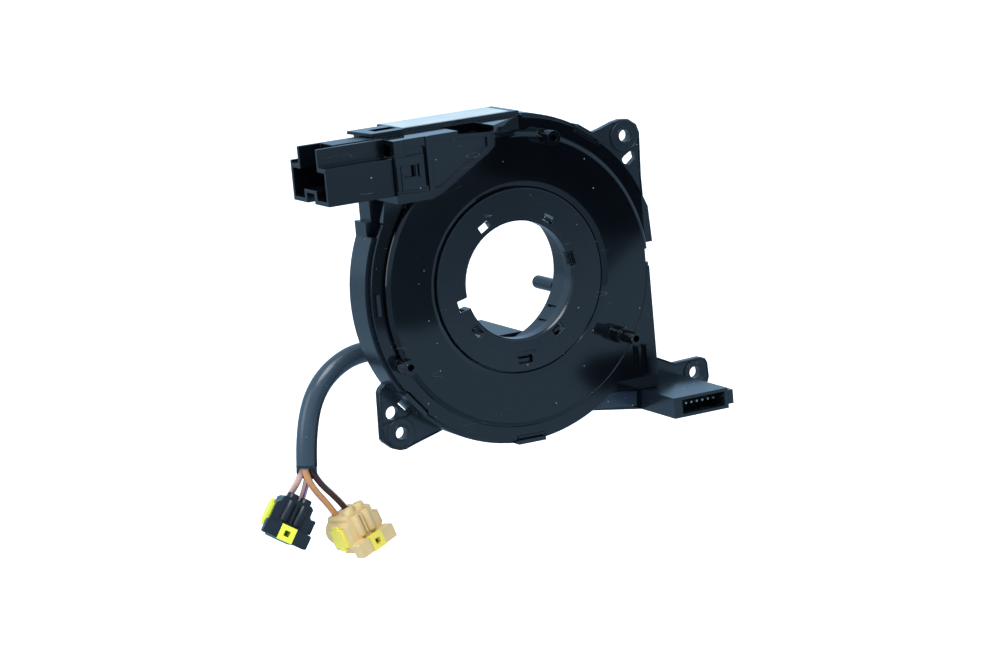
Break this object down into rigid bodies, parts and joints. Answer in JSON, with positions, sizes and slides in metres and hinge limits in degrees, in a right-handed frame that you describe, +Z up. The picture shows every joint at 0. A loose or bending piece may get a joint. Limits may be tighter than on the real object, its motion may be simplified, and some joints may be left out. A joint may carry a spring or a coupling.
{
  "type": "steering clock spring",
  "caption": "Steering clock spring: ribbon-cable drum with a turning hub, plug sockets and a short hanging airbag harness.",
  "frame": {"origin": "the turning axis, in the plane of the three screw pads", "axes": "+X to the right when looking at the column side, +Y along the turning axis towards the steering wheel, +Z up"},
  "size_m": [0.1649, 0.0818, 0.1522],
  "materials": {
    "shell_plastic": "moulded near-black plastic, semi-gloss",
    "cover_plastic": "moulded near-black plastic, glossy",
    "socket_plastic": "moulded black plastic, satin",
    "ring_plastic": "moulded near-black plastic, semi-gloss",
    "hub_plastic": "moulded near-black plastic, semi-gloss",
    "tower_plastic": "moulded black plastic, satin",
    "pin_metal": "tinned contact metal",
    "board": "green printed board",
    "ribbon_film": "amber film over copper",
    "slip_film": "white low-friction film",
    "label_film": "bare pale sticker",
    "sleeve_rubber": "smooth grey-black PVC sleeve",
    "wire_violet": "pink-cream insulation with a violet stripe",
    "wire_orange": "orange-tan insulation",
    "wire_brown": "dark brown insulation with a pale stripe",
    "plug_black": "moulded black plastic",
    "plug_beige": "moulded beige plastic",
    "lock_yellow": "moulded lime-yellow plastic",
    "lock_amber": "moulded yellow plastic"
  },
  "bodies": {
    "stator": {"stator_shell": "shell_plastic", "stator_cover": "cover_plastic", "harness_socket": "socket_plastic", "socket_pins": "pin_metal", "module_pins": "pin_metal", "block_board": "board", "duct_board": "board", "ribbon_cable": "ribbon_film", "slip_sheet_front": "slip_film", "slip_sheet_rear": "slip_film", "label": "label_film"},
    "rotor": {"retaining_ring": "ring_plastic", "rotor_hub": "hub_plastic", "cable_tower": "tower_plastic", "rotor_board": "board", "harness_sleeve": "sleeve_rubber", "black_connector": "plug_black", "black_lock": "lock_yellow", "beige_connector": "plug_beige", "beige_lock": "lock_amber", "wire_black_1": "wire_violet", "wire_black_2": "wire_violet", "wire_beige_1": "wire_orange", "wire_beige_2": "wire_brown"},
    "black_cpa": {"black_cpa": "lock_yellow"},
    "beige_cpa": {"beige_cpa": "lock_amber"}
  },
  "joints": [
    {"name": "hub_turn", "type": "hinge", "parent": "stator", "child": "rotor", "pos_m": [0, 0, 0], "axis": [0, 1, 0], "range_deg": [-900, 900]},
    {"name": "black_cpa_slide", "type": "slide", "parent": "rotor", "child": "black_cpa", "axis": [0.2041, 0.9602, -0.1908], "range_m": [0, 0.002]},
    {"name": "beige_cpa_slide", "type": "slide", "parent": "rotor", "child": "beige_cpa", "axis": [-0.2122, 0.9649, -0.1547], "range_m": [0, 0.002]}
  ]
}
